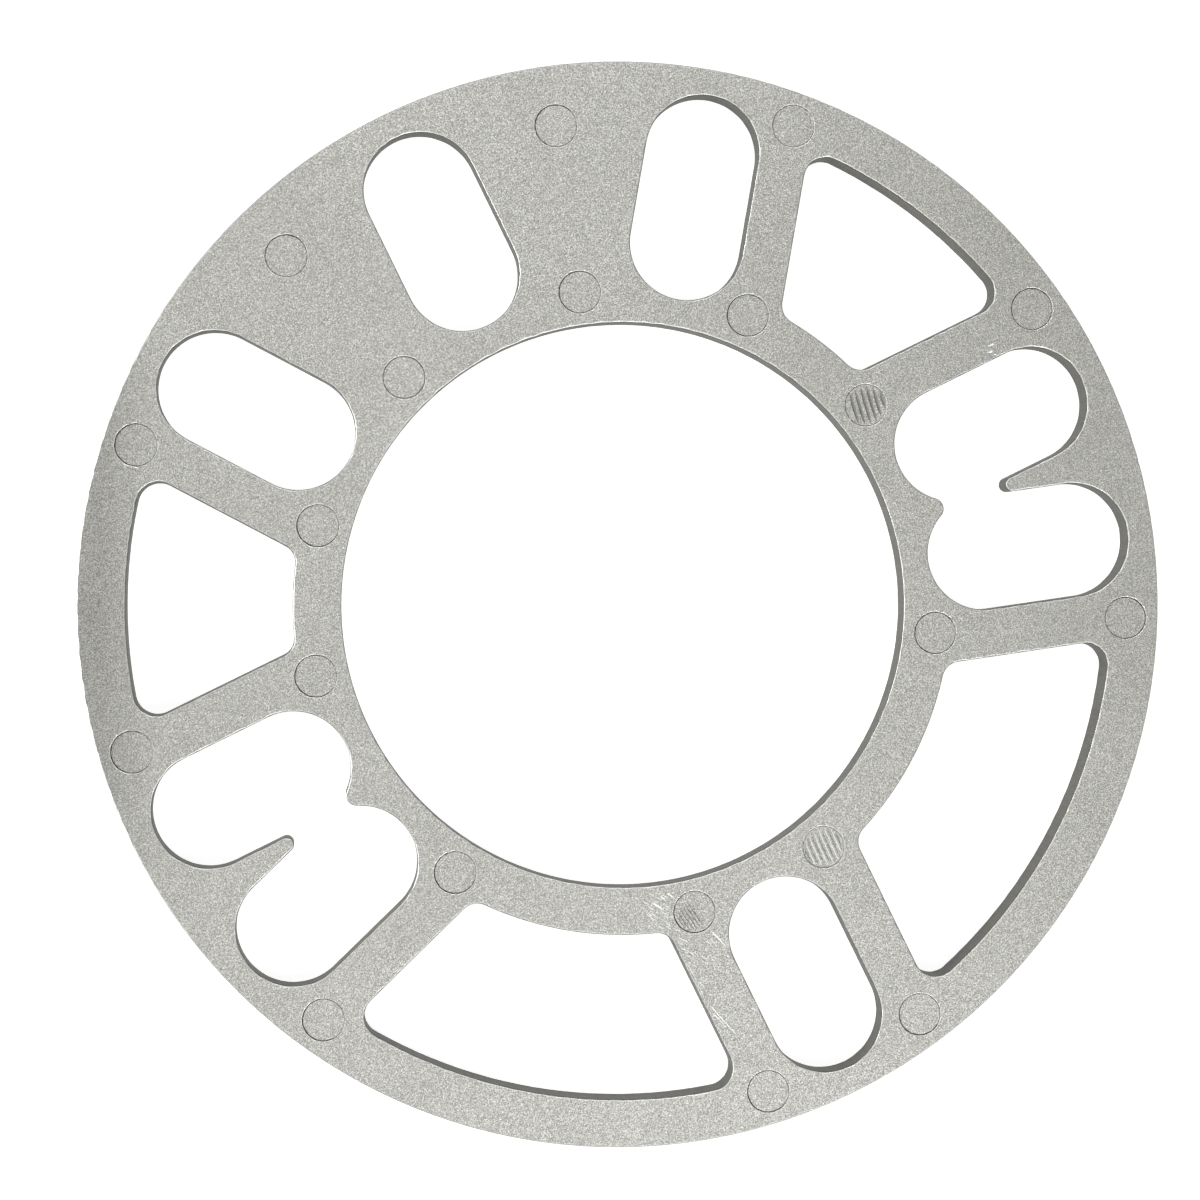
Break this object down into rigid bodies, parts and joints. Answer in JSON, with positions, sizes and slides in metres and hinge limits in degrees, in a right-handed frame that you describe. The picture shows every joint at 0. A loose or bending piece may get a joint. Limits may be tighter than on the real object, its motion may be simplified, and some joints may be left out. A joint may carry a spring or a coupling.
{
  "type": "wheel spacer",
  "caption": "Flat die-cast aluminium ring with a hub bore, radial stud slots and lightening windows, clamped between a road wheel and its hub to move the wheel outwards.",
  "frame": {"origin": "centre of the hub bore, on the plain face that lies against the hub", "axes": "+Z along the bore towards the face with the ejector-pin marks; Y is the plate's line of symmetry, and the slot on -Y belongs to both stud patterns"},
  "size_m": [0.15, 0.15, 0.005],
  "materials": {
    "cast_aluminium": "die-cast, blasted to a fine satin grain, with ejector-pin marks and a few light scratches"
  },
  "bodies": {
    "root": {"spacer_plate": "cast_aluminium"}
  },
  "joints": []
}
